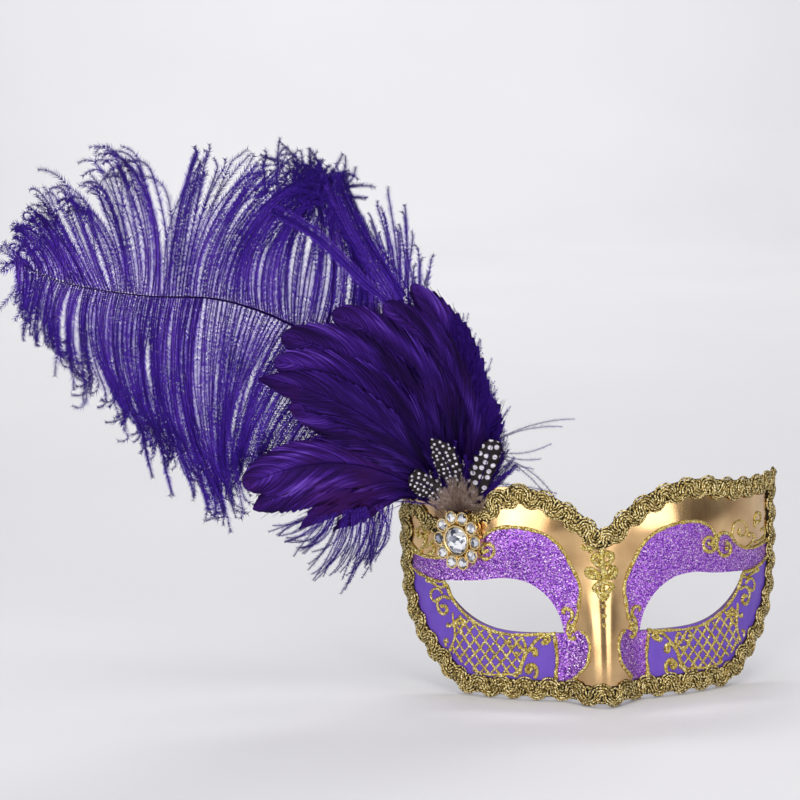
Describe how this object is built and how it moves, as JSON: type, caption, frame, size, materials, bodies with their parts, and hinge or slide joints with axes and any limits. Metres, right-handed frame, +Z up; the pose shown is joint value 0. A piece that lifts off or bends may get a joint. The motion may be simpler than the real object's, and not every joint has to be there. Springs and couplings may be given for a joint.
{
  "type": "carnival eye mask",
  "caption": "Half-face carnival mask with two eye holes, a braided edge, a jewelled brooch and a fan of feathers with a long plume at one temple.",
  "frame": {"origin": "on the table, under the middle of the braid at the tip of the nose", "axes": "+X to the viewer's right as seen from the front, +Y to the back of the mask (towards the wearer), +Z up"},
  "size_m": [0.3589, 0.066, 0.2635],
  "materials": {
    "gilded_papier": "polished",
    "gimp_braid": "satin",
    "gilt_metal": "polished",
    "crystal": "polished",
    "violet_vane": "satin",
    "spotted_vane": "matte",
    "violet_barbs": "matte",
    "brown_down": "matte"
  },
  "bodies": {
    "root": {"mask_shell": "gilded_papier", "brow_braid": "gimp_braid", "corner_braid": "gimp_braid", "rim_braid": "gimp_braid", "brooch_setting": "gilt_metal", "centre_stone": "crystal", "rim_stone_01": "crystal", "rim_stone_02": "crystal", "rim_stone_03": "crystal", "rim_stone_04": "crystal", "rim_stone_05": "crystal", "rim_stone_06": "crystal", "rim_stone_07": "crystal", "rim_stone_08": "crystal", "rim_stone_09": "crystal", "rim_stone_10": "crystal", "fan_feather_01": "violet_vane", "fan_feather_02": "violet_vane", "fan_feather_03": "violet_vane", "fan_feather_04": "violet_vane", "fan_feather_05": "violet_vane", "fan_feather_06": "violet_vane", "fan_feather_07": "violet_vane", "fan_feather_08": "violet_vane", "fan_feather_09": "violet_vane", "fan_feather_10": "violet_vane", "fan_feather_11": "violet_vane", "fan_feather_12": "violet_vane", "guinea_feather_1": "spotted_vane", "guinea_feather_2": "spotted_vane", "guinea_feather_3": "spotted_vane", "ostrich_plume": "violet_barbs", "under_plume": "violet_barbs", "down_tuft": "brown_down"}
  },
  "joints": []
}
